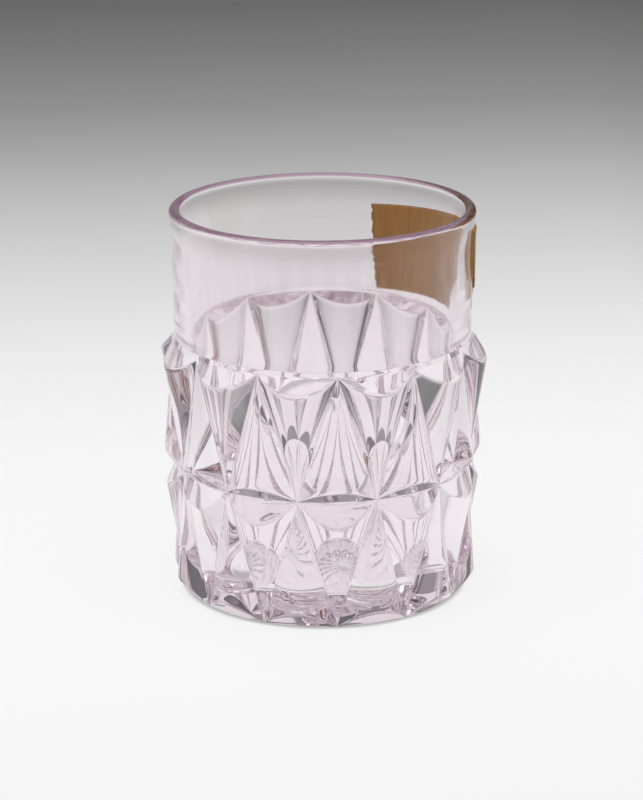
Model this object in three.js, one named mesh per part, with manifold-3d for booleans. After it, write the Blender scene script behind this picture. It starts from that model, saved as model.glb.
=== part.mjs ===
// A pressed glass tumbler in millimetres, +Z up, with its origin at the middle of its foot.
// A plain band under a rounded lip stands on two tiers of relief. Each tier runs between two
// rings of star points that are staggered by half a pitch. From every point of the lower ring
// a convex cone widens upwards and ends in a hanging curve, the festoon. From every point of
// the upper ring a convex cone widens downwards and ends in a standing curve, the arch.
// Bevels join festoons and arches to the rings. A gummed paper label is stuck to the band.
import * as THREE from "three";
import { mergeVertices } from "three/addons/utils/BufferGeometryUtils.js";
import Module from "manifold-3d";

// Heights of the storeys, from the foot up.
const LOWER_TIER_HEIGHT = 30.2;
const UPPER_TIER_HEIGHT = 29.1;
const EDGE_RISE = 1.0; // the narrow bevel between the upper star points and the band
const BAND_HEIGHT = 29.7;
const FLARE_HEIGHT = 8.5; // the top of the band, where it opens towards the lip

// Outside radii.
const FOOT_RADIUS = 32.2;
const WAIST_RADIUS = 34.0;
const SHOULDER_RADIUS = 34.6;
const BAND_FOOT_RADIUS = 34.15;
const FLARE_START_RADIUS = 34.35;
const RIM_RADIUS = 35.0;

// Glass thickness, each wall measured inwards from the radius beside it.
const RIM_WALL = 2.65;
const BAND_WALL = 2.65;
const SHOULDER_WALL = 4.15;
const WAIST_WALL = 4.2;
const FOOT_WALL = 4.1;
const FLOOR_THICKNESS = 7.0;
const FILLET_WIDTH = 2.5; // the inner corner, a quarter ellipse that is taller than wide
const FILLET_HEIGHT = 16.0;

// Relief. A bulge is how far a panel's edge stands out from the chord between its points, and
// a slope is how far a bevel runs outwards for each millimetre along the axis.
const COLUMNS = 12;
const UPPER_FESTOON_BULGE = 5.2;
const UPPER_ARCH_BULGE = 4.3;
const LOWER_FESTOON_BULGE = 4.6;
const LOWER_ARCH_BULGE = 4.7;
const SHOULDER_SLOPE = 0.87;
const WAIST_TOP_SLOPE = 0.96;
const WAIST_BOTTOM_SLOPE = 0.48;
const FOOT_SLOPE = 0.88;

// The star pressed into the underside, a ring of spoon-shaped petals.
const STAR_PETALS = 16;
const STAR_MARGIN = 13.2; // flat ring of the foot that is left around the star
const STAR_DEPTH = 1.3;
const PETAL_WIDTH = 7.6;
const PETAL_OVERRUN = 3.0; // how far each petal runs past the middle
const PETAL_SINK = 1.0; // from the foot down to the middle of the ellipsoid that shapes a petal

// The label and its gum. Its length follows the band's curve, and its far end is the lower one.
const LABEL_LENGTH = 48;
const LABEL_MIDDLE_ANGLE = THREE.MathUtils.degToRad(114.5); // from -Y towards +X
const LABEL_TILT = THREE.MathUtils.degToRad(3.2);
const LABEL_LOW_MARGIN = 0.4; // from the foot of the band to the label's low end
const LABEL_HIGH_MARGIN = 7.3; // from the label's low end to the top of the lip
const LABEL_THICKNESS = 0.25;
const GUM_THICKNESS = 0.12;
const SEAT_GAP = 0.08;

// Fineness of the facets.
const PANEL_STEPS = 8;
const FLARE_STEPS = 3;
const RIM_STEPS = 6;
const FILLET_STEPS = 6;
const LABEL_STEPS = 20;

const around = COLUMNS * PANEL_STEPS;
const halfPitch = Math.PI / COLUMNS;
const waistHeight = LOWER_TIER_HEIGHT;
const shoulderHeight = waistHeight + UPPER_TIER_HEIGHT;
const bandFoot = shoulderHeight + EDGE_RISE;
const height = bandFoot + BAND_HEIGHT;
const flareStart = height - FLARE_HEIGHT;
const rimRound = RIM_WALL / 2;
const rimSide = height - rimRound;

const wasm = await Module();
wasm.setup();

// Collects corners given as angle, radius and height, and the triangles between them.
class Skin {
  corners = [];
  triangles = [];

  corner(angle, radius, z) {
    this.corners.push(radius * Math.sin(angle), -radius * Math.cos(angle), z);
    return this.corners.length / 3 - 1;
  }

  ring(radius, z) {
    return Array.from({ length: around }, (_, i) => this.corner(columnAngle(i), radius, z));
  }

  face(a, b, c) {
    if (a !== b && b !== c && c !== a) this.triangles.push(a, b, c);
  }

  // Quads between two rows of corners, facing outwards when the second row is higher.
  strip(low, high) {
    for (let i = 0; i < around; i++) {
      const j = (i + 1) % around;
      this.face(low[i], low[j], high[j]);
      this.face(low[i], high[j], high[i]);
    }
  }

  geometry() {
    const made = new THREE.BufferGeometry();
    made.setAttribute("position", new THREE.Float32BufferAttribute(this.corners, 3));
    made.setIndex(this.triangles);
    return made;
  }
}

function columnAngle(i) {
  return ((i % around) * 2 * Math.PI) / around;
}

// The share of a tier's height, from the apex, at which a convex panel meets its bevel.
// The panel is a cone from its apex to a circular arc between two neighbouring star points,
// and angle is measured from the panel's middle.
function panelReach(angle, apexRadius, ringRadius, tierHeight, bulge, slope) {
  const halfChord = ringRadius * Math.sin(halfPitch);
  const arcRadius = (halfChord ** 2 + bulge ** 2) / (2 * bulge);
  const arcMiddle = ringRadius * Math.cos(halfPitch) + bulge - arcRadius;
  let below = 0.01;
  let above = 1;
  for (let turn = 0; turn < 50; turn++) {
    const share = (below + above) / 2;
    const radius = ringRadius + (1 - share) * tierHeight * slope;
    const across = (radius * Math.sin(angle)) / share;
    const out = apexRadius + (radius * Math.cos(angle) - apexRadius) / share;
    const inside = Math.hypot(across, out - arcMiddle) < arcRadius;
    if (inside) above = share;
    else below = share;
  }
  return above;
}

// One row of corners along all festoons or arches of a tier. The panels' apexes are on one
// ring, and their curves end on star points of the other. shift is the number of columns
// from a curve's end to the front of the glass.
function panelEdge(skin, apex, ring, bulge, slope, shift) {
  const rise = ring.z - apex.z;
  return ring.row.map((end, i) => {
    const step = (i + shift) % PANEL_STEPS;
    if (step === 0) return end;
    const angle = (step / PANEL_STEPS) * 2 * halfPitch - halfPitch;
    const share = panelReach(angle, apex.radius, ring.radius, Math.abs(rise), bulge, slope);
    const radius = ring.radius + (1 - share) * Math.abs(rise) * slope;
    return skin.corner(columnAngle(i), radius, apex.z + share * rise);
  });
}

// Fans from the apexes to an edge row. The apex of each panel stands at the middle column.
function panelFans(skin, apexRow, edge, shift, up) {
  for (let i = 0; i < around; i++) {
    const j = (i + 1) % around;
    const first = i - ((i + shift) % PANEL_STEPS);
    const apex = apexRow[(first + PANEL_STEPS / 2 + around) % around];
    if (up) skin.face(apex, edge[j], edge[i]);
    else skin.face(apex, edge[i], edge[j]);
  }
}

// A tier of relief between two rings: its panels, and the bevels that join them to the rings.
// In a staggered tier the star points of the low ring, not the high one, include the front.
function tier(skin, low, high, sizes, stagger) {
  const half = PANEL_STEPS / 2;
  const archShift = stagger ? 0 : half;
  const festoonShift = stagger ? half : 0;
  const arch = panelEdge(skin, high, low, sizes.archBulge, sizes.lowSlope, archShift);
  const festoon = panelEdge(skin, low, high, sizes.festoonBulge, sizes.highSlope, festoonShift);
  panelFans(skin, high.row, arch, archShift, false);
  panelFans(skin, low.row, festoon, festoonShift, true);
  skin.strip(low.row, arch);
  skin.strip(festoon, high.row);
}

// The band's outside, as radius and height, from its foot to the side of the lip.
function bandProfile() {
  const points = [[BAND_FOOT_RADIUS, bandFoot]];
  for (let i = 0; i <= FLARE_STEPS; i++) {
    const share = i / FLARE_STEPS;
    const radius = FLARE_START_RADIUS + (RIM_RADIUS - FLARE_START_RADIUS) * share ** 2;
    points.push([radius, flareStart + (rimSide - flareStart) * share]);
  }
  return points;
}

// From the outer side of the lip over its round top to the inner side.
function rimProfile() {
  const points = [];
  for (let i = 1; i <= RIM_STEPS; i++) {
    const turn = (i / RIM_STEPS) * Math.PI;
    const radius = RIM_RADIUS - rimRound + rimRound * Math.cos(turn);
    points.push([radius, rimSide + rimRound * Math.sin(turn)]);
  }
  return points;
}

// The drinking side, from below the lip down to the edge of the flat floor.
function boreProfile() {
  const filletTop = FLOOR_THICKNESS + FILLET_HEIGHT;
  const grooveShare = filletTop / LOWER_TIER_HEIGHT;
  const groove = FOOT_RADIUS + (WAIST_RADIUS - FOOT_RADIUS) * grooveShare;
  const wallRadius = groove - FOOT_WALL;
  const points = [
    [FLARE_START_RADIUS - BAND_WALL, flareStart],
    [SHOULDER_RADIUS - SHOULDER_WALL, shoulderHeight],
    [WAIST_RADIUS - WAIST_WALL, waistHeight],
  ];
  for (let i = 0; i <= FILLET_STEPS; i++) {
    const turn = ((i / FILLET_STEPS) * Math.PI) / 2;
    const radius = wallRadius - FILLET_WIDTH * (1 - Math.cos(turn));
    points.push([radius, filletTop - FILLET_HEIGHT * Math.sin(turn)]);
  }
  return points;
}

// The whole outside and inside of the glass as one closed skin.
function glassSkin() {
  const skin = new Skin();
  const ringAt = (radius, z) => ({ radius, z, row: skin.ring(radius, z) });
  const foot = ringAt(FOOT_RADIUS, 0);
  const waist = ringAt(WAIST_RADIUS, waistHeight);
  const shoulder = ringAt(SHOULDER_RADIUS, shoulderHeight);
  const lowerSizes = {
    archBulge: LOWER_ARCH_BULGE,
    festoonBulge: LOWER_FESTOON_BULGE,
    lowSlope: FOOT_SLOPE,
    highSlope: WAIST_BOTTOM_SLOPE,
  };
  const upperSizes = {
    archBulge: UPPER_ARCH_BULGE,
    festoonBulge: UPPER_FESTOON_BULGE,
    lowSlope: WAIST_TOP_SLOPE,
    highSlope: SHOULDER_SLOPE,
  };
  tier(skin, foot, waist, lowerSizes, true);
  tier(skin, waist, shoulder, upperSizes, false);

  let row = shoulder.row;
  for (const [radius, z] of [...bandProfile(), ...rimProfile(), ...boreProfile()]) {
    const next = skin.ring(radius, z);
    skin.strip(row, next);
    row = next;
  }
  const floorMiddle = skin.corner(0, 0, FLOOR_THICKNESS);
  const footMiddle = skin.corner(0, 0, 0);
  for (let i = 0; i < around; i++) {
    const j = (i + 1) % around;
    skin.face(floorMiddle, row[i], row[j]);
    skin.face(footMiddle, foot.row[j], foot.row[i]);
  }
  return skin.geometry();
}

// A closed geometry as a solid that can be cut.
function solidFrom(geometry) {
  const bare = geometry.clone();
  bare.deleteAttribute("normal");
  bare.deleteAttribute("uv");
  const merged = mergeVertices(bare, 1e-4);
  return new wasm.Manifold(
    new wasm.Mesh({
      numProp: 3,
      vertProperties: new Float32Array(merged.getAttribute("position").array),
      triVerts: new Uint32Array(merged.index.array),
    }),
  );
}

function geometryFrom(solid) {
  const mesh = solid.getMesh();
  const made = new THREE.BufferGeometry();
  made.setAttribute("position", new THREE.BufferAttribute(mesh.vertProperties, 3));
  made.setIndex(new THREE.BufferAttribute(mesh.triVerts, 1));
  return made;
}

// The glass with the petals of the star scooped out of its underside. Each petal is the cap of
// an ellipsoid whose middle lies under the foot, so the ellipsoid is wider than the petal.
function glass() {
  const starRadius = FOOT_RADIUS - STAR_MARGIN;
  const halfLength = (starRadius + PETAL_OVERRUN) / 2;
  const capHeight = STAR_DEPTH + PETAL_SINK;
  const widening = 1 / Math.sqrt(1 - (PETAL_SINK / capHeight) ** 2);
  let body = solidFrom(glassSkin());
  for (let i = 0; i < STAR_PETALS; i++) {
    const petal = new THREE.SphereGeometry(1, 16, 10);
    petal.rotateX(Math.PI / 2);
    petal.scale((PETAL_WIDTH / 2) * widening, halfLength * widening, capHeight);
    petal.translate(0, -(starRadius - halfLength), -PETAL_SINK);
    petal.rotateZ((i / STAR_PETALS) * 2 * Math.PI);
    body = body.subtract(solidFrom(petal));
  }
  return geometryFrom(body);
}

// The strip that the label is cut to. It falls from the label's near end to its far end.
function labelStrip() {
  const reach = BAND_FOOT_RADIUS * Math.sin(LABEL_LENGTH / BAND_FOOT_RADIUS / 2);
  const rise = 2 * reach * Math.tan(LABEL_TILT);
  const bottom = bandFoot + LABEL_LOW_MARGIN;
  const top = height - LABEL_HIGH_MARGIN;
  const width = 4 * RIM_RADIUS;
  const strip = new THREE.BoxGeometry(width, width, (top - bottom) * Math.cos(LABEL_TILT));
  strip.rotateY(LABEL_TILT);
  strip.rotateZ(LABEL_MIDDLE_ANGLE);
  strip.translate(0, 0, (bottom + top + rise) / 2);
  return solidFrom(strip);
}

// A sheet that follows the band at a given distance, cut to the label's strip.
function bandSheet(distance, thickness) {
  const halfAngle = LABEL_LENGTH / BAND_FOOT_RADIUS / 2;
  const profile = bandProfile();
  const lastRow = profile.length - 1;
  const skin = new Skin();
  const side = (offset) =>
    profile.map(([radius, z]) =>
      Array.from({ length: LABEL_STEPS + 1 }, (_, i) => {
        const angle = LABEL_MIDDLE_ANGLE + halfAngle * ((2 * i) / LABEL_STEPS - 1);
        return skin.corner(angle, radius + offset, z);
      }),
    );
  const inner = side(distance);
  const outer = side(distance + thickness);
  const quad = (a, b, c, d) => {
    skin.face(a, b, c);
    skin.face(a, c, d);
  };
  for (let i = 0; i < LABEL_STEPS; i++) {
    for (let k = 0; k < lastRow; k++) {
      quad(outer[k][i], outer[k][i + 1], outer[k + 1][i + 1], outer[k + 1][i]);
      quad(inner[k][i], inner[k + 1][i], inner[k + 1][i + 1], inner[k][i + 1]);
    }
    quad(inner[0][i], inner[0][i + 1], outer[0][i + 1], outer[0][i]);
    const [low, high] = [inner[lastRow], outer[lastRow]];
    quad(high[i], high[i + 1], low[i + 1], low[i]);
  }
  for (let k = 0; k < lastRow; k++) {
    const end = LABEL_STEPS;
    quad(inner[k][0], outer[k][0], outer[k + 1][0], inner[k + 1][0]);
    quad(outer[k][end], inner[k][end], inner[k + 1][end], outer[k + 1][end]);
  }
  return geometryFrom(solidFrom(skin.geometry()).intersect(labelStrip()));
}

function piece(name, geometry, look) {
  geometry.computeVertexNormals();
  const mesh = new THREE.Mesh(geometry, new THREE.MeshStandardMaterial(look));
  mesh.name = name;
  return mesh;
}

const tumbler = new THREE.Group();
tumbler.name = "tumbler";

const clearGlass = {
  color: 0xe3d8e6,
  roughness: 0.04,
  metalness: 0,
  transparent: true,
  opacity: 0.35,
};
tumbler.add(piece("beaker_glass", glass(), clearGlass));

const gumDistance = SEAT_GAP;
const gumLook = { color: 0xb89a6a, roughness: 0.45, metalness: 0 };
tumbler.add(piece("label_gum", bandSheet(gumDistance, GUM_THICKNESS), gumLook));

const labelDistance = gumDistance + GUM_THICKNESS + SEAT_GAP;
const labelLook = { color: 0x8f6238, roughness: 0.9, metalness: 0 };
tumbler.add(piece("paper_label", bandSheet(labelDistance, LABEL_THICKNESS), labelLook));

export default tumbler;
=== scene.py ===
# %% [markdown]
# A pressed glass tumbler with a bare kraft paper label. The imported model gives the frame: its
# size, its nodes and the one body that everything rides on. This lesson dresses that frame.
# The glass is built again as one fine closed skin whose edge loops follow every crease,
# because refraction shows each facet that is too coarse.

# %% Load the frame
import math
from collections import namedtuple

import bmesh
import bpy
from mathutils import Matrix, Vector


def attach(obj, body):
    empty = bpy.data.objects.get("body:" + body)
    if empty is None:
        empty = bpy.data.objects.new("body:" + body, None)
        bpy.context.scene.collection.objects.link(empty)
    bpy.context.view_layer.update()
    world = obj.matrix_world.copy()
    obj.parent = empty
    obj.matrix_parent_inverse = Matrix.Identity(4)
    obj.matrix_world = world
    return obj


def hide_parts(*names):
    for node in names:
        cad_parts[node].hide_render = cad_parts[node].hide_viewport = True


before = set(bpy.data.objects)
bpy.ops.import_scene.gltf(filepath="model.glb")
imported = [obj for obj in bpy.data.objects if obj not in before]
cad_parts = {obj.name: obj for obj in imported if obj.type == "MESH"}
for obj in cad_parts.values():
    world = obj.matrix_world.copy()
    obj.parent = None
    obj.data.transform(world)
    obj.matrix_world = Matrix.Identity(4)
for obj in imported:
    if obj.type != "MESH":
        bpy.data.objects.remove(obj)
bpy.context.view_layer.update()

MM = 0.001

# %% [markdown]
# The camera comes first. Its place and lens were fitted to the rings of star points, the lip
# and the foot, so the glass lands on the same pixels as in the photograph. The image is taken
# to be 643 by 800 pixels, and the focal length in pixels is turned into a lens for a 36 mm
# sensor on the long side. The order of turns matters: the camera is rolled and pushed back
# first, then pitched, then aimed and turned round the tumbler.

# %% Camera
IMAGE_LONG_SIDE = 800
FOCAL_PIXELS = 2887.0
SENSOR_MM = 36.0
CAMERA_PITCH = 0.2985
CAMERA_ROLL = -0.0033
CAMERA_TURN = -0.0932
CAMERA_DISTANCE = 668.9 * MM
AIM_SIDE = -0.35 * MM
AIM_HEIGHT = 43.66 * MM
NEAREST_SEEN = 10 * MM


def make_camera():
    """A camera that looks down at the tumbler from slightly left of its front."""
    lens = bpy.data.cameras.new("camera")
    lens.sensor_width = SENSOR_MM
    lens.lens = FOCAL_PIXELS / IMAGE_LONG_SIDE * SENSOR_MM
    lens.clip_start = NEAREST_SEEN
    camera = bpy.data.objects.new("camera", lens)
    bpy.context.scene.collection.objects.link(camera)
    turn = Matrix.Rotation(CAMERA_TURN, 4, "Z")
    aim = Matrix.Translation((AIM_SIDE, 0, AIM_HEIGHT))
    pitch = Matrix.Rotation(math.pi / 2 - CAMERA_PITCH, 4, "X")
    back = Matrix.Translation((0, 0, CAMERA_DISTANCE))
    roll = Matrix.Rotation(CAMERA_ROLL, 4, "Z")
    camera.matrix_world = turn @ aim @ pitch @ back @ roll
    bpy.context.scene.camera = camera
    return camera


camera = make_camera()
print("camera at", [round(v / MM, 1) for v in camera.matrix_world.translation])

# %% [markdown]
# The relief repeats in columns. Three rings of star points carry it: at the foot, at the waist
# and at the shoulder. Each tier has two kinds of convex panel, both cones. One has its apex
# on the low ring and ends above in a hanging curve, the festoon. The other has its apex on the
# high ring and ends below in a standing curve, the arch. Bevels join the curves to the rings.
# All sizes are in millimetres and agree with the solids of the frame.

# %% Sizes of the glass
Ring = namedtuple("Ring", "radius height")
Tier = namedtuple("Tier", "low high arch_bulge festoon_bulge low_slope high_slope")

COLUMNS = 12
FOOT = Ring(32.2, 0.0)
WAIST = Ring(34.0, 30.2)
SHOULDER = Ring(34.6, 59.3)
LOWER_TIER = Tier(FOOT, WAIST, arch_bulge=4.7, festoon_bulge=4.6, low_slope=0.88, high_slope=0.48)
UPPER_TIER = Tier(WAIST, SHOULDER, arch_bulge=4.3, festoon_bulge=5.2, low_slope=0.96, high_slope=0.87)
BAND_FOOT = Ring(34.15, 60.3)
FLARE_START = Ring(34.35, 81.5)
HEIGHT = 90.0
RIM_RADIUS = 35.0
RIM_WALL = 2.65
BORE = [Ring(31.7, 81.5), Ring(30.45, 59.3), Ring(29.8, 30.2)]
BORE_FOOT = Ring(29.47, 23.0)
FILLET_WIDTH = 2.5
FLOOR_THICKNESS = 7.0
HALF_PITCH = math.pi / COLUMNS

# %% [markdown]
# Every row of the skin has corners at the same angles, so that rows join without gaps. Within
# half a pitch the angles crowd towards both ends, where star points and grooves lie. The close
# pairs of edge loops keep each crease tight when the skin is subdivided, as fire polishing
# leaves it: rounded, but only just.

# %% Columns and rows
COLUMN_SHARES = [0, 0.05, 0.14, 0.25, 0.375, 0.5, 0.625, 0.75, 0.86, 0.95]
PANEL_SHARES = [0, 0.03, 0.09, 0.2, 0.35, 0.5, 0.65, 0.8, 0.91, 0.97, 1]
BEVEL_SHARES = [0, 0.14, 0.5, 0.86, 1]
PANEL_COLUMNS = 2 * len(COLUMN_SHARES)
column_angles = [(half + share) * HALF_PITCH for half in range(2 * COLUMNS) for share in COLUMN_SHARES]


def corner(angle, radius, height):
    """A point of the skin in millimetres; angle 0 is the front, -Y, and it grows towards +X."""
    return Vector((radius * math.sin(angle), -radius * math.cos(angle), height))


def ring_row(ring):
    return [corner(angle, ring.radius, ring.height) for angle in column_angles]


def between(first, second, shares):
    """Rows of points that lead from one row to another."""
    return [[a.lerp(b, share) for a, b in zip(first, second)] for share in shares]


print("corners in each row:", len(column_angles))

# %% [markdown]
# A panel ends where its cone meets the bevel. There is no short formula for that curve, so each
# of its points is found by halving: the share of the tier's height at which a point of the
# bevel lies on the cone.

# %% Festoons and arches
HALVINGS = 50
LEAST_SHARE = 0.01


def panel_reach(angle, apex_radius, ring_radius, tier_height, bulge, slope):
    """Share of the tier's height, from the apex, at which a panel meets its bevel."""
    half_chord = ring_radius * math.sin(HALF_PITCH)
    arc_radius = (half_chord**2 + bulge**2) / (2 * bulge)
    arc_middle = ring_radius * math.cos(HALF_PITCH) + bulge - arc_radius
    below, above = LEAST_SHARE, 1.0
    for _ in range(HALVINGS):
        share = (below + above) / 2
        radius = ring_radius + (1 - share) * tier_height * slope
        across = radius * math.sin(angle) / share
        out = apex_radius + (radius * math.cos(angle) - apex_radius) / share
        if math.hypot(across, out - arc_middle) < arc_radius:
            above = share
        else:
            below = share
    return above


def panel_edge(apex, ring, bulge, slope, middle):
    """The curve that ends one panel, from star point to star point round the middle angle."""
    tier_height = abs(ring.height - apex.height)
    points = []
    for step in range(PANEL_COLUMNS + 1):
        half, index = divmod(step, len(COLUMN_SHARES))
        share = COLUMN_SHARES[index] if half < 2 else 0
        angle = (half - 1 + share) * HALF_PITCH
        reach = panel_reach(angle, apex.radius, ring.radius, tier_height, bulge, slope)
        radius = ring.radius + (1 - reach) * tier_height * slope
        height = apex.height + reach * (ring.height - apex.height)
        points.append(corner(middle + angle, radius, height))
    return points


hanging = panel_edge(WAIST, SHOULDER, UPPER_TIER.festoon_bulge, UPPER_TIER.high_slope, 0.0)
print("upper festoon hangs down to mm:", round(min(point.z for point in hanging), 2))

# %% [markdown]
# A cone is straight from its apex to its edge curve, so a panel is a fan of rows between the
# two. A bevel is a strip between the edge curve and the ring under or over it. One column has
# one panel of each kind and two bevels, and a tier repeats it twelve times.

# %% Panels and bevels
def on_ring(points, ring):
    """The points of a ring at the same angles as a row of points."""
    return [corner(math.atan2(p.x, -p.y), *ring) for p in points]


def panel_patches(tier, first_apex):
    """Point grids of all panels and bevels of a tier; first_apex is the angle of a low apex."""
    grids = []
    for column in range(COLUMNS):
        low_angle = first_apex + 2 * column * HALF_PITCH
        high_angle = low_angle + HALF_PITCH
        festoon = panel_edge(tier.low, tier.high, tier.festoon_bulge, tier.high_slope, low_angle)
        arch = panel_edge(tier.high, tier.low, tier.arch_bulge, tier.low_slope, high_angle)
        low_apex = [corner(low_angle, *tier.low)] * len(festoon)
        high_apex = [corner(high_angle, *tier.high)] * len(arch)
        grids.append(between(low_apex, festoon, PANEL_SHARES))
        grids.append(between(arch, high_apex, PANEL_SHARES))
        grids.append(between(festoon, on_ring(festoon, tier.high), BEVEL_SHARES))
        grids.append(between(on_ring(arch, tier.low), arch, BEVEL_SHARES))
    return grids


relief = panel_patches(LOWER_TIER, 0.0) + panel_patches(UPPER_TIER, HALF_PITCH)
print("patches of relief:", len(relief))

# %% [markdown]
# The band is turned: a narrow bevel above the shoulder, a plain wall and a slight flare. Where
# the bevel meets the wall the mould leaves a hairline, a groove much finer than a millimetre,
# and two close loops keep it crisp. The lip is half a circle, as the flame rounds it.

# %% Band and lip
EDGE_SHARES = [0, 0.12, 0.88, 1]
BAND_SHARES = [0.008, 0.1, 0.25, 0.4, 0.55, 0.7, 0.85, 1]
HAIRLINE = 0.07
FLARE_STEPS = 6
LIP_STEPS = 12


def band_rows():
    """Rows from the shoulder over the bevel, the hairline, the wall and the flare."""
    rows = between(ring_row(SHOULDER), ring_row(BAND_FOOT), EDGE_SHARES)
    rows[-1] = ring_row(Ring(BAND_FOOT.radius - HAIRLINE, BAND_FOOT.height))
    rows += between(ring_row(BAND_FOOT), ring_row(FLARE_START), BAND_SHARES)
    side = HEIGHT - RIM_WALL / 2
    for step in range(1, FLARE_STEPS + 1):
        share = step / FLARE_STEPS
        radius = FLARE_START.radius + (RIM_RADIUS - FLARE_START.radius) * share**2
        height = FLARE_START.height + (side - FLARE_START.height) * share
        rows.append(ring_row(Ring(radius, height)))
    return rows


def lip_rows():
    """Rows of the half circle, from the outside of the lip to the inside."""
    half = RIM_WALL / 2
    rows = []
    for step in range(LIP_STEPS + 1):
        turn = math.pi * step / LIP_STEPS
        radius = RIM_RADIUS - half + half * math.cos(turn)
        rows.append(ring_row(Ring(radius, HEIGHT - half + half * math.sin(turn))))
    return rows


turned = [band_rows(), lip_rows()]
print("rows of band and lip:", [len(rows) for rows in turned])

# %% [markdown]
# The plunger shapes the drinking side: a slight taper, a tall soft corner and a flat floor. It
# is turned, so every row is a plain ring. Even steps down the wall keep the faces alike, which
# keeps the view through the band calm.

# %% Drinking side
WALL_STEP = 4.0
FILLET_STEPS = 12
FLOOR_SHARES = [0.9, 0.7, 0.5, 0.3, 0.12, 0]


def bore_profile():
    """Drinking side from the lip to the middle of the floor, as rings in even steps."""
    stops = [Ring(RIM_RADIUS - RIM_WALL, HEIGHT - RIM_WALL / 2), *BORE, BORE_FOOT]
    rings = []
    for high, low in zip(stops, stops[1:]):
        steps = max(2, round((high.height - low.height) / WALL_STEP))
        for step in range(steps):
            share = step / steps
            radius = high.radius + (low.radius - high.radius) * share
            rings.append(Ring(radius, high.height + (low.height - high.height) * share))
    for step in range(FILLET_STEPS + 1):
        turn = math.pi / 2 * step / FILLET_STEPS
        radius = BORE_FOOT.radius - FILLET_WIDTH * (1 - math.cos(turn))
        drop = (BORE_FOOT.height - FLOOR_THICKNESS) * math.sin(turn)
        rings.append(Ring(radius, BORE_FOOT.height - drop))
    flat_edge = rings[-1].radius
    return rings + [Ring(flat_edge * share, FLOOR_THICKNESS) for share in FLOOR_SHARES]


turned.append([ring_row(ring) for ring in bore_profile()])
print("rows of the drinking side:", len(turned[-1]))

# %% [markdown]
# The underside carries a star, a ring of spoon-shaped petals that is pressed into the foot.
# Each petal is the cap of an ellipsoid whose middle lies under the foot, so its edges are soft.
# Rows of corners follow the scalloped outline of the star inwards, and the ridges between
# petals fall on edge loops.

# %% Star of the underside
STAR_PETALS = 16
STAR_RADIUS = 19.0
STAR_DEPTH = 1.3
PETAL_WIDTH = 7.6
PETAL_OVERRUN = 3.0
PETAL_SINK = 1.0
STAR_SHARES = [0, 0.1, 0.25, 0.4, 0.55, 0.7, 0.82, 0.91, 0.97, 1]
FOOT_SHARES = [0.03, 0.2, 0.5, 0.85, 0.975, 1]
petal_half = (STAR_RADIUS + PETAL_OVERRUN) / 2
petal_middle = STAR_RADIUS - petal_half


def petal_angle(angle):
    """Angle from the middle of the nearest petal."""
    pitch = 2 * math.pi / STAR_PETALS
    return (angle + pitch / 2) % pitch - pitch / 2


def star_outline(angle):
    """Distance from the axis to the end of the petal at this angle."""
    off = petal_angle(angle)
    square = (math.cos(off) / petal_half) ** 2 + (math.sin(off) / (PETAL_WIDTH / 2)) ** 2
    linear = -2 * petal_middle * math.cos(off) / petal_half**2
    constant = (petal_middle / petal_half) ** 2 - 1
    return (-linear + math.sqrt(linear * linear - 4 * square * constant)) / (2 * square)


def star_height(angle, radius):
    """Height of the petal above the plane that the foot stands on."""
    off = petal_angle(angle)
    along = (radius * math.cos(off) - petal_middle) / petal_half
    across = radius * math.sin(off) / (PETAL_WIDTH / 2)
    cap = STAR_DEPTH + PETAL_SINK
    fall = (along**2 + across**2) * (1 - (PETAL_SINK / cap) ** 2)
    return max(0.0, cap * math.sqrt(max(0.0, 1 - fall)) - PETAL_SINK)


def underside_rows():
    """Rows from the middle of the star to its outline, and on to the foot."""
    rows = []
    for share in STAR_SHARES:
        row = []
        for angle in column_angles:
            radius = share * star_outline(angle)
            row.append(corner(angle, radius, star_height(angle, radius) if share < 1 else 0))
        rows.append(row)
    return rows + between(rows[-1], ring_row(FOOT), FOOT_SHARES)


turned.append(underside_rows())
print("rows of the underside:", len(turned[-1]))

# %% [markdown]
# All point grids become one mesh. Points that fall together are merged, which also turns the
# ends of fans and bevels into clean triangles. A closed skin has two faces at every edge, and
# that is counted here, because a glass with a hole would refract wrongly.

# %% Meshes from point grids
MERGE_DISTANCE = 1e-6


def add_grid(points, faces, rows, closed=False):
    """Adds a grid of points and its quads; a closed grid joins its last column to its first."""
    width = len(rows[0])
    start = len(points)
    points.extend(point * MM for row in rows for point in row)
    last = width if closed else width - 1
    for level in range(len(rows) - 1):
        low = start + level * width
        high = low + width
        for here in range(last):
            beside = (here + 1) % width
            faces.append((low + here, low + beside, high + beside, high + here))


def skin_mesh(name, points, faces):
    """One smooth mesh whose doubled points are merged and whose faces all look outwards."""
    mesh = bpy.data.meshes.new(name)
    mesh.from_pydata(points, [], faces)
    work = bmesh.new()
    work.from_mesh(mesh)
    bmesh.ops.remove_doubles(work, verts=work.verts, dist=MERGE_DISTANCE)
    bmesh.ops.recalc_face_normals(work, faces=work.faces)
    open_edges = sum(1 for edge in work.edges if len(edge.link_faces) != 2)
    work.to_mesh(mesh)
    work.free()
    mesh.polygons.foreach_set("use_smooth", [True] * len(mesh.polygons))
    print(name, "faces:", len(mesh.polygons), "open edges:", open_edges)
    return mesh


def add_piece(mesh, node):
    """Links a piece, hides the CAD node that it replaces and lets it ride on the one body."""
    piece = bpy.data.objects.new(mesh.name, mesh)
    bpy.context.scene.collection.objects.link(piece)
    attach(piece, "root")
    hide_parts(node)
    return piece


print("points are merged within mm:", MERGE_DISTANCE / MM)

# %% [markdown]
# Fire polishing softens every crease of the mould. One level of subdivision does the same: it
# rounds the skin between the support loops and leaves the flat and round parts as they are.

# %% Glass piece
POLISH_LEVELS = 1


def glass_mesh():
    points, faces = [], []
    for grid in relief:
        add_grid(points, faces, grid)
    for rows in turned:
        add_grid(points, faces, rows, closed=True)
    return skin_mesh("pressed_glass", points, faces)


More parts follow.
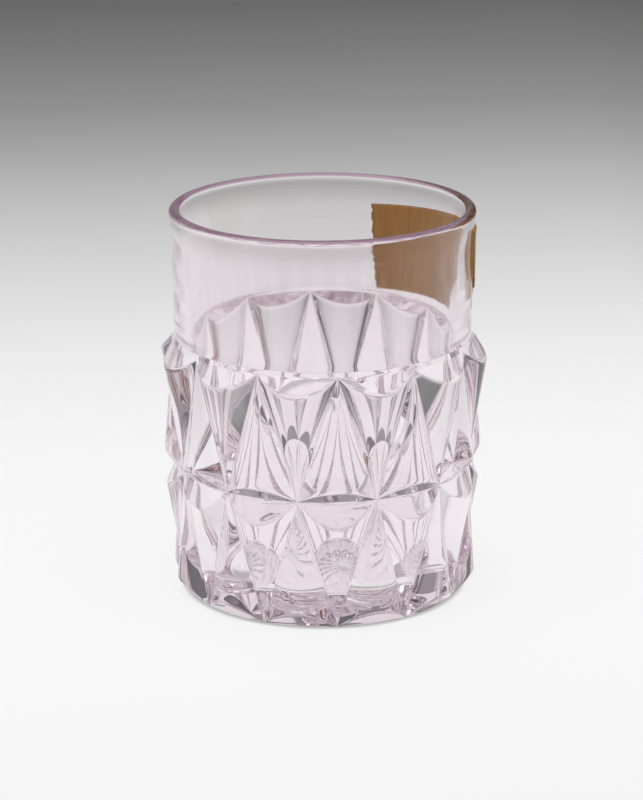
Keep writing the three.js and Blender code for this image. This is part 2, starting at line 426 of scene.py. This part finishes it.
glass = add_piece(glass_mesh(), "beaker_glass")
polish = glass.modifiers.new("fire_polish", "SUBSURF")
polish.levels = POLISH_LEVELS
polish.render_levels = POLISH_LEVELS

# %% [markdown]
# The label is a strip of kraft paper, gummed to the outside of the band, a little askew. Its
# far end is torn and wanders in small steps, and its near end has lost the lower corner. A
# place on the label is given by its distance along the strip and up from its lower edge.

# %% Places on the label
LABEL_BOTTOM = 60.7
LABEL_TOP = 82.7
LABEL_MIDDLE = math.radians(114.5)
LABEL_LENGTH = 48.0
LABEL_TILT = math.radians(3.2)
Wave = namedtuple("Wave", "size rate shift")
TEAR = 0.16
TEAR_MIDDLE = 1.6
TEAR_WAVES = [Wave(1.0, 1.9, 0.0), Wave(0.6, 4.3, 1.0), Wave(0.4, 9.1, 0.0)]
TEAR_LEAN = 0.10
LEAN_START = 13.0
LOST_CORNER = 14.0
LOST_HEIGHT = 8.0
LOST_SLOPE = 1.8
LOST_WAVE = Wave(0.5, 3.1, 0.0)


def band_radius(height):
    """Outside radius of the band at a height."""
    if height < FLARE_START.height:
        low, high, power = BAND_FOOT, FLARE_START, 1
    else:
        low, high, power = FLARE_START, Ring(RIM_RADIUS, HEIGHT - RIM_WALL / 2), 2
    share = (height - low.height) / (high.height - low.height)
    return low.radius + (high.radius - low.radius) * share**power


def label_point(along, up, distance):
    """A point of the label at a distance outside the band."""
    lean = (LABEL_TOP - LABEL_BOTTOM - up) * math.tan(LABEL_TILT)
    height = LABEL_BOTTOM + up + along * math.tan(LABEL_TILT)
    angle = LABEL_MIDDLE + (LABEL_LENGTH / 2 - along - lean) / BAND_FOOT.radius
    return corner(angle, band_radius(height) + distance, height)


def swing(wave, up):
    return wave.size * math.sin(up * wave.rate + wave.shift)


def torn_end(up):
    """How far the torn end stands in from a straight end."""
    steps = sum(swing(wave, up) for wave in TEAR_WAVES)
    return TEAR * (TEAR_MIDDLE + steps) + TEAR_LEAN * max(0.0, LEAN_START - up)


def near_end(up):
    """Where the near end lies, with the lost corner below a short slope."""
    edge = LOST_HEIGHT + swing(LOST_WAVE, up)
    return LABEL_LENGTH - LOST_CORNER / (1 + math.exp((up - edge) / LOST_SLOPE))


print("label runs over degrees:", round(math.degrees(LABEL_LENGTH / BAND_FOOT.radius), 1))

# %% [markdown]
# Gum and paper are two thin closed sheets that follow the band, one outside the other. A sheet
# is an inner and an outer grid, with four narrow strips between their edges. Gum wets the
# glass, so its inner face lies a hair inside the skin and leaves no air between: light that
# runs inside the wall then meets the gum, and the lip turns brown there. Towards the near end
# the gum has come away, and a thin layer of air hides it again.

# %% Label and gum pieces
GUM_DISTANCE = -0.03
GUM_THICKNESS = 0.23
GUM_INSET = 0.1
GUM_LIFT = 0.11
LIFT_START = 37.0
LIFT_RUN = 2.0
PAPER_DISTANCE = 0.28
PAPER_THICKNESS = 0.25
LABEL_COLUMNS = 72
LABEL_LEVELS = 60


def lift_share(along):
    """0 where the gum wets the glass and 1 where it has come away, towards the near end."""
    return min(1.0, max(0.0, (along - LIFT_START) / LIFT_RUN))


def sheet_grid(distance, inset, lift):
    """One face of a sheet, as rows of points from its lower edge to its upper edge."""
    grid = []
    for level in range(LABEL_LEVELS + 1):
        up = inset + (LABEL_TOP - LABEL_BOTTOM - 2 * inset) * level / LABEL_LEVELS
        start = torn_end(up) + inset
        run = near_end(up) - inset - start
        steps = [start + run * step / LABEL_COLUMNS for step in range(LABEL_COLUMNS + 1)]
        grid.append([label_point(along, up, distance + lift * lift_share(along)) for along in steps])
    return grid


def sheet_mesh(name, distance, thickness, inset, lift):
    """A closed sheet whose inner face may lift off the glass."""
    inner = sheet_grid(distance, inset, lift)
    outer = sheet_grid(distance + thickness, inset, 0.0)
    points, faces = [], []
    add_grid(points, faces, inner)
    add_grid(points, faces, outer)
    for side in (0, -1):
        add_grid(points, faces, [inner[side], outer[side]])
        add_grid(points, faces, [[row[side] for row in inner], [row[side] for row in outer]])
    return skin_mesh(name, points, faces)


gum_mesh = sheet_mesh("label_gum_film", GUM_DISTANCE, GUM_THICKNESS, GUM_INSET, GUM_LIFT)
gum = add_piece(gum_mesh, "label_gum")
paper_mesh = sheet_mesh("kraft_label", PAPER_DISTANCE, PAPER_THICKNESS, 0.0, 0.0)
paper = add_piece(paper_mesh, "paper_label")
print("label pieces:", gum.name, paper.name)

# %% [markdown]
# Paper fibres, brush strokes in gum and dull places on glass are all soft spots of some size
# that may be drawn out in one direction. One node group makes them: it squeezes the height,
# reads a noise there and stretches its contrast to a mask from 0 to 1.

# %% Mottle group
MOTTLE_DETAIL = 4.0


def mottle_group():
    group = bpy.data.node_groups.new("mottle", "ShaderNodeTree")
    sockets = group.interface
    sockets.new_socket("Place", in_out="INPUT", socket_type="NodeSocketVector")
    for name in ("Scale", "Stretch", "Low", "High"):
        sockets.new_socket(name, in_out="INPUT", socket_type="NodeSocketFloat")
    sockets.new_socket("Mask", in_out="OUTPUT", socket_type="NodeSocketFloat")
    nodes, links = group.nodes, group.links
    given = nodes.new("NodeGroupInput")
    result = nodes.new("NodeGroupOutput")
    split = nodes.new("ShaderNodeSeparateXYZ")
    squeeze = nodes.new("ShaderNodeMath")
    squeeze.operation = "DIVIDE"
    join = nodes.new("ShaderNodeCombineXYZ")
    noise = nodes.new("ShaderNodeTexNoise")
    noise.inputs["Detail"].default_value = MOTTLE_DETAIL
    contrast = nodes.new("ShaderNodeMapRange")
    links.new(given.outputs["Place"], split.inputs["Vector"])
    links.new(split.outputs["X"], join.inputs["X"])
    links.new(split.outputs["Y"], join.inputs["Y"])
    links.new(split.outputs["Z"], squeeze.inputs[0])
    links.new(given.outputs["Stretch"], squeeze.inputs[1])
    links.new(squeeze.outputs["Value"], join.inputs["Z"])
    links.new(join.outputs["Vector"], noise.inputs["Vector"])
    links.new(given.outputs["Scale"], noise.inputs["Scale"])
    links.new(noise.outputs["Fac"], contrast.inputs["Value"])
    links.new(given.outputs["Low"], contrast.inputs["From Min"])
    links.new(given.outputs["High"], contrast.inputs["From Max"])
    links.new(contrast.outputs["Result"], result.inputs["Mask"])
    return group


mottle = mottle_group()
print("group inputs:", [item.name for item in mottle.interface.items_tree])

# %% [markdown]
# A few helpers place that group in a material, blend two colours by a mask, make a mask from the
# height, turn a mask into a roughness and raise a bump from it. Scales are in spots per metre.

# %% Material helpers
def new_material(name):
    """A material with its node tree and its Principled shader."""
    material = bpy.data.materials.new(name)
    material.use_nodes = True
    return material, material.node_tree, material.node_tree.nodes["Principled BSDF"]


def add_mottle(tree, scale, stretch=1.0, low=0.35, high=0.65):
    place = tree.nodes.new("ShaderNodeTexCoord")
    spots = tree.nodes.new("ShaderNodeGroup")
    spots.node_tree = mottle
    tree.links.new(place.outputs["Object"], spots.inputs["Place"])
    for name, value in (("Scale", scale), ("Stretch", stretch), ("Low", low), ("High", high)):
        spots.inputs[name].default_value = value
    return spots.outputs["Mask"]


def blend(tree, mask, first, second):
    """A colour that goes from the first to the second as the mask grows."""
    mix = tree.nodes.new("ShaderNodeMix")
    mix.data_type = "RGBA"
    tree.links.new(mask, mix.inputs["Factor"])
    for socket, colour in zip(("A", "B"), (first, second)):
        slot = next(s for s in mix.inputs if s.name == socket and s.type == "RGBA")
        if isinstance(colour, bpy.types.NodeSocket):
            tree.links.new(colour, slot)
        else:
            slot.default_value = (*colour, 1)
    return next(s for s in mix.outputs if s.type == "RGBA")


def height_mask(tree, low, high):
    """0 below one height and 1 above another."""
    place = tree.nodes.new("ShaderNodeTexCoord")
    split = tree.nodes.new("ShaderNodeSeparateXYZ")
    scale = tree.nodes.new("ShaderNodeMapRange")
    scale.inputs["From Min"].default_value = low
    scale.inputs["From Max"].default_value = high
    tree.links.new(place.outputs["Object"], split.inputs["Vector"])
    tree.links.new(split.outputs["Z"], scale.inputs["Value"])
    return scale.outputs["Result"]


def span(tree, mask, low, high):
    """A value that goes from low to high as the mask grows."""
    scale = tree.nodes.new("ShaderNodeMapRange")
    tree.links.new(mask, scale.inputs["Value"])
    scale.inputs["To Min"].default_value = low
    scale.inputs["To Max"].default_value = high
    return scale.outputs["Result"]


def add_math(tree, operation, first, second=None, clamp=False):
    """A math node whose inputs are sockets or numbers."""
    node = tree.nodes.new("ShaderNodeMath")
    node.operation = operation
    node.use_clamp = clamp
    for socket, value in zip(node.inputs, (first, second)):
        if isinstance(value, bpy.types.NodeSocket):
            tree.links.new(value, socket)
        elif value is not None:
            socket.default_value = value
    return node.outputs["Value"]


def raise_bump(tree, shader, mask, height):
    bump = tree.nodes.new("ShaderNodeBump")
    bump.inputs["Strength"].default_value = 1.0
    bump.inputs["Distance"].default_value = height
    tree.links.new(mask, bump.inputs["Height"])
    tree.links.new(bump.outputs["Normal"], shader.inputs["Normal"])


print("materials so far:", len(bpy.data.materials))

# %% [markdown]
# Old clear glass with a trace of manganese turns lilac in daylight. Most of that tint shows
# where light runs a long way through the glass, so it is absorption inside the skin; a small
# part is on the surface. The surface is fire polished and smooth, with a few dull spots that
# use and washing have left. The plain band is a touch uneven, which softens the light that
# runs round inside its wall. Light that enters the lip goes round many times and comes out deep
# lilac. Few rays are followed that far, so the lip's surface has a deeper tint.

# %% Glass
GLASS_IOR = 1.52
GLASS_CLEAN = (0.997, 0.965, 0.981)
GLASS_DULL = (0.989, 0.955, 0.972)
GLASS_LIP = (0.17, 0.075, 0.135)
LIP_TINT = (89.1 * MM, 89.55 * MM)
DULL_SPOTS = {"scale": 70, "low": 0.45, "high": 0.75}
POLISH_ROUGHNESS = (0.0, 0.02)
BAND_ROUGHNESS = 0.05
BAND_START = (61 * MM, 63 * MM)
TINT_COLOUR = (0.66, 0.48, 0.60)
TINT_DENSITY = 10.0


def glass_material():
    material, tree, shader = new_material("lilac_glass")
    dull = add_mottle(tree, **DULL_SPOTS)
    wall = blend(tree, dull, GLASS_CLEAN, GLASS_DULL)
    colour = blend(tree, height_mask(tree, *LIP_TINT), wall, GLASS_LIP)
    tree.links.new(colour, shader.inputs["Base Color"])
    band = span(tree, height_mask(tree, *BAND_START), 0.0, BAND_ROUGHNESS)
    rough = add_math(tree, "MAXIMUM", span(tree, dull, *POLISH_ROUGHNESS), band)
    tree.links.new(rough, shader.inputs["Roughness"])
    shader.inputs["IOR"].default_value = GLASS_IOR
    shader.inputs["Transmission Weight"].default_value = 1.0
    tint = tree.nodes.new("ShaderNodeVolumeAbsorption")
    tint.inputs["Color"].default_value = (*TINT_COLOUR, 1)
    tint.inputs["Density"].default_value = TINT_DENSITY
    tree.links.new(tint.outputs["Volume"], tree.nodes["Material Output"].inputs["Volume"])
    return material


glass.data.materials.append(glass_material())
print("glass tint per metre:", [round(TINT_DENSITY * (1 - c), 2) for c in TINT_COLOUR])

# %% [markdown]
# Kraft paper shows long fibres that lie mostly in one direction, here upright, and short dark
# flecks of bark. The gum under it was brushed on: it is a glossier amber, with broad clouds that
# are darker where it lies thick.

# %% Paper and gum
KRAFT_LIGHT = (0.53, 0.34, 0.155)
KRAFT_DARK = (0.43, 0.26, 0.105)
KRAFT_FLECK = (0.25, 0.13, 0.05)
GUM_LIGHT = (0.98, 0.60, 0.22)
GUM_DARK = (0.84, 0.43, 0.11)
FIBRES = {"scale": 2200, "stretch": 7}
FLECKS = {"scale": 900, "stretch": 3, "low": 0.66, "high": 0.74}
STROKES = {"scale": 1300, "stretch": 10, "low": 0.3, "high": 0.7}
CLOUDS = {"scale": 150, "stretch": 1.5, "low": 0.3, "high": 0.75}
CLOUD_DARKNESS = (0.0, 0.6)
FIBRE_ROUGHNESS = (0.95, 0.82)
STROKE_ROUGHNESS = (0.65, 0.45)
FIBRE_HEIGHT = 0.03 * MM
STROKE_HEIGHT = 0.02 * MM


def kraft_material():
    material, tree, shader = new_material("kraft_paper")
    fibres = add_mottle(tree, **FIBRES)
    flecks = add_mottle(tree, **FLECKS)
    colour = blend(tree, fibres, KRAFT_DARK, KRAFT_LIGHT)
    colour = blend(tree, flecks, colour, KRAFT_FLECK)
    tree.links.new(colour, shader.inputs["Base Color"])
    tree.links.new(span(tree, fibres, *FIBRE_ROUGHNESS), shader.inputs["Roughness"])
    raise_bump(tree, shader, fibres, FIBRE_HEIGHT)
    return material


def gum_material():
    material, tree, shader = new_material("dried_gum")
    strokes = add_mottle(tree, **STROKES)
    clouds = add_mottle(tree, **CLOUDS)
    colour = blend(tree, strokes, GUM_DARK, GUM_LIGHT)
    colour = blend(tree, span(tree, clouds, *CLOUD_DARKNESS), colour, GUM_DARK)
    tree.links.new(colour, shader.inputs["Base Color"])
    tree.links.new(span(tree, strokes, *STROKE_ROUGHNESS), shader.inputs["Roughness"])
    raise_bump(tree, shader, strokes, STROKE_HEIGHT)
    return material


gum.data.materials.append(gum_material())
paper.data.materials.append(kraft_material())
print("materials:", [m.name for piece in (glass, gum, paper) for m in piece.data.materials])

# %% [markdown]
# The tumbler stands on a pale table in a pool of light that fades towards the front, the back
# and the sides, and that widens towards the back. That pool is painted light in the table's
# colour, and so is a narrow painted shade where the foot's edge touches the table. Each list of
# stops pairs a place with a brightness: metres towards the back, half widths of the pool, metres
# from the axis. Rays from the camera, and those that glass reflects or refracts, mostly see that
# painted colour glowing, and a share of plain diffuse keeps the tumbler's soft shadow. All other rays
# see a diffuse table.

# %% Table
TABLE_DROP = 0.15 * MM
TABLE_HALF = 4.0
TABLE_SHADOW = 0.15
DEPTH_STOPS = [
    (-0.6, 0.12), (-0.32, 0.14), (-0.22, 0.24), (-0.17, 0.50), (-0.13, 0.92), (-0.04, 0.96),
    (0.05, 0.95), (0.12, 0.915), (0.19, 0.85), (0.28, 0.71), (0.39, 0.535), (0.48, 0.39),
    (0.57, 0.285), (0.70, 0.205), (0.83, 0.150), (1.0, 0.12),
]
SIDE_STOPS = [
    (0.0, 1.0), (1.2, 1.0), (1.6, 0.90), (2.2, 0.80),
    (3.3, 0.68), (4.5, 0.58), (5.3, 0.38), (6.5, 0.22),
]
# Painted shade: a dark ring in the table's colour where the foot's edge meets the table.
FOOT_STOPS = [
    (0.0, 1.0), (0.0285, 1.0), (0.0298, 0.55), (0.0322, 0.55), (0.0335, 1.0), (0.05, 1.0),
]
BLACK = (0, 0, 0)
POOL_HALF = 0.076
POOL_SPREAD = 0.106
POOL_LEAST = 0.02


def grey(level):
    return (level, level, level, 1)


def level_ramp(tree, distance, stops):
    """A ramp that turns a distance into a brightness."""
    low, high = stops[0][0], stops[-1][0]
    scale = tree.nodes.new("ShaderNodeMapRange")
    scale.inputs["From Min"].default_value = low
    scale.inputs["From Max"].default_value = high
    tree.links.new(distance, scale.inputs["Value"])
    ramp = tree.nodes.new("ShaderNodeValToRGB")
    tree.links.new(scale.outputs["Result"], ramp.inputs["Fac"])
    elements = ramp.color_ramp.elements
    elements[0].color = grey(stops[0][1])
    elements[1].color = grey(stops[-1][1])
    for place, level in stops[1:-1]:
        elements.new((place - low) / (high - low)).color = grey(level)
    return ramp.outputs["Color"]


def plane_distance(tree, across, along):
    """Distance from the tumbler's axis."""
    squares = [add_math(tree, "MULTIPLY", value, value) for value in (across, along)]
    return add_math(tree, "SQRT", add_math(tree, "ADD", *squares))


def pool_colour(tree):
    """Brightness of the pool of light, from the place on the table."""
    place = tree.nodes.new("ShaderNodeNewGeometry").outputs["Position"]
    split = tree.nodes.new("ShaderNodeSeparateXYZ")
    tree.links.new(place, split.inputs["Vector"])
    half = add_math(tree, "MULTIPLY", split.outputs["Y"], POOL_SPREAD)
    half = add_math(tree, "MAXIMUM", add_math(tree, "ADD", half, POOL_HALF), POOL_LEAST)
    side = add_math(tree, "DIVIDE", add_math(tree, "ABSOLUTE", split.outputs["X"]), half)
    foot = plane_distance(tree, split.outputs["X"], split.outputs["Y"])
    colour = level_ramp(tree, split.outputs["Y"], DEPTH_STOPS)
    for distance, stops in ((side, SIDE_STOPS), (foot, FOOT_STOPS)):
        colour = blend(tree, level_ramp(tree, distance, stops), BLACK, colour)
    return colour


def table_material():
    """Glows with its painted pool of light and shade where it is seen, and is a plain matte table for
    the light.
    """
    material, tree, shader = new_material("pale_table")
    tree.nodes.remove(shader)
    path = tree.nodes.new("ShaderNodeLightPath")
    seen = add_math(tree, "ADD", path.outputs["Is Camera Ray"], path.outputs["Is Glossy Ray"])
    seen = add_math(tree, "ADD", seen, path.outputs["Is Transmission Ray"], clamp=True)
    glow = tree.nodes.new("ShaderNodeEmission")
    matte = tree.nodes.new("ShaderNodeBsdfDiffuse")
    pool = pool_colour(tree)
    tree.links.new(pool, glow.inputs["Color"])
    tree.links.new(pool, matte.inputs["Color"])
    mix = tree.nodes.new("ShaderNodeMixShader")
    tree.links.new(add_math(tree, "MULTIPLY", seen, 1 - TABLE_SHADOW), mix.inputs["Fac"])
    tree.links.new(matte.outputs["BSDF"], mix.inputs[1])
    tree.links.new(glow.outputs["Emission"], mix.inputs[2])
    tree.links.new(mix.outputs["Shader"], tree.nodes["Material Output"].inputs["Surface"])
    return material


def add_stage(name, corners, material):
    """A flat face of the set, which is not part of the object."""
    mesh = bpy.data.meshes.new(name)
    mesh.from_pydata(corners, [], [(0, 1, 2, 3)])
    mesh.materials.append(material)
    flat = bpy.data.objects.new(name, mesh)
    bpy.context.scene.collection.objects.link(flat)


SIGNS = [(-1, -1), (1, -1), (1, 1), (-1, 1)]
table_corners = [(x * TABLE_HALF, y * TABLE_HALF, -TABLE_DROP) for x, y in SIGNS]
add_stage("table_top", table_corners, table_material())
print("table half width in m:", TABLE_HALF)

# %% [markdown]
# Clear glass is drawn by what it bends into view. An even sky and one large lamp overhead give
# soft light. A low grey wall far behind, darker towards the sides and the left, and a dark card
# to the front left put the dark lines along the facets that tilt away from the table. None of
# them is in the picture itself.

# %% Light
SKY_LEVEL = 0.68
LAMP_PLACE = Vector((-0.2, -0.2, 1.3))
LAMP_TARGET = Vector((0, 0, 0.04))
LAMP_SIZE = (1.7, 1.4)
LAMP_POWER = 9
WALL_ROUGHNESS = 0.9
WALL_GREYS = {"grey_wall": 0.60, "side_wall": 0.25, "dark_card": 0.12}
Wall = namedtuple("Wall", "name start end low high material")
WALLS = [
    Wall("back_wall", (-0.5, 1.5), (0.5, 1.5), 0, 0.75, "grey_wall"),
    Wall("back_left_wall", (-3.5, 1.5), (-0.5, 1.5), 0, 0.75, "side_wall"),
    Wall("back_right_wall", (0.5, 1.5), (3.5, 1.5), 0, 0.75, "side_wall"),
    Wall("left_wall", (-1.6, -0.8), (-1.6, 1.5), 0, 0.5, "side_wall"),
    Wall("front_card", (-1.5, -1.2), (0.5, -1.2), 0.35, 1.15, "dark_card"),
]


def make_sky():
    world = bpy.data.worlds.new("studio")
    bpy.context.scene.world = world
    world.use_nodes = True
    world.node_tree.nodes["Background"].inputs["Color"].default_value = grey(SKY_LEVEL)


def add_lamp():
    """One large soft lamp overhead."""
    lamp = bpy.data.lights.new("top_softbox", "AREA")
    lamp.shape = "RECTANGLE"
    lamp.size, lamp.size_y = LAMP_SIZE
    lamp.energy = LAMP_POWER
    holder = bpy.data.objects.new("top_softbox", lamp)
    bpy.context.scene.collection.objects.link(holder)
    holder.location = LAMP_PLACE
    holder.rotation_euler = (LAMP_TARGET - LAMP_PLACE).to_track_quat("-Z", "Y").to_euler()


def wall_material(name, level):
    material, _, shader = new_material(name)
    shader.inputs["Base Color"].default_value = grey(level)
    shader.inputs["Roughness"].default_value = WALL_ROUGHNESS
    return material


make_sky()
add_lamp()
wall_finishes = {name: wall_material(name, level) for name, level in WALL_GREYS.items()}
for wall in WALLS:
    low_edge = [(*wall.start, wall.low), (*wall.end, wall.low)]
    high_edge = [(*wall.end, wall.high), (*wall.start, wall.high)]
    add_stage(wall.name, low_edge + high_edge, wall_finishes[wall.material])

# %% [markdown]
# Light passes many surfaces on its way through the relief, so paths may be long. The standard
# view transform shows each colour as it is written.

# %% Render settings that belong to the scene
LONGEST_PATH = 64
scene = bpy.context.scene
scene.view_settings.view_transform = "Standard"
scene.cycles.max_bounces = LONGEST_PATH
scene.cycles.transmission_bounces = LONGEST_PATH
scene.cycles.glossy_bounces = LONGEST_PATH
print("bounces:", scene.cycles.max_bounces)
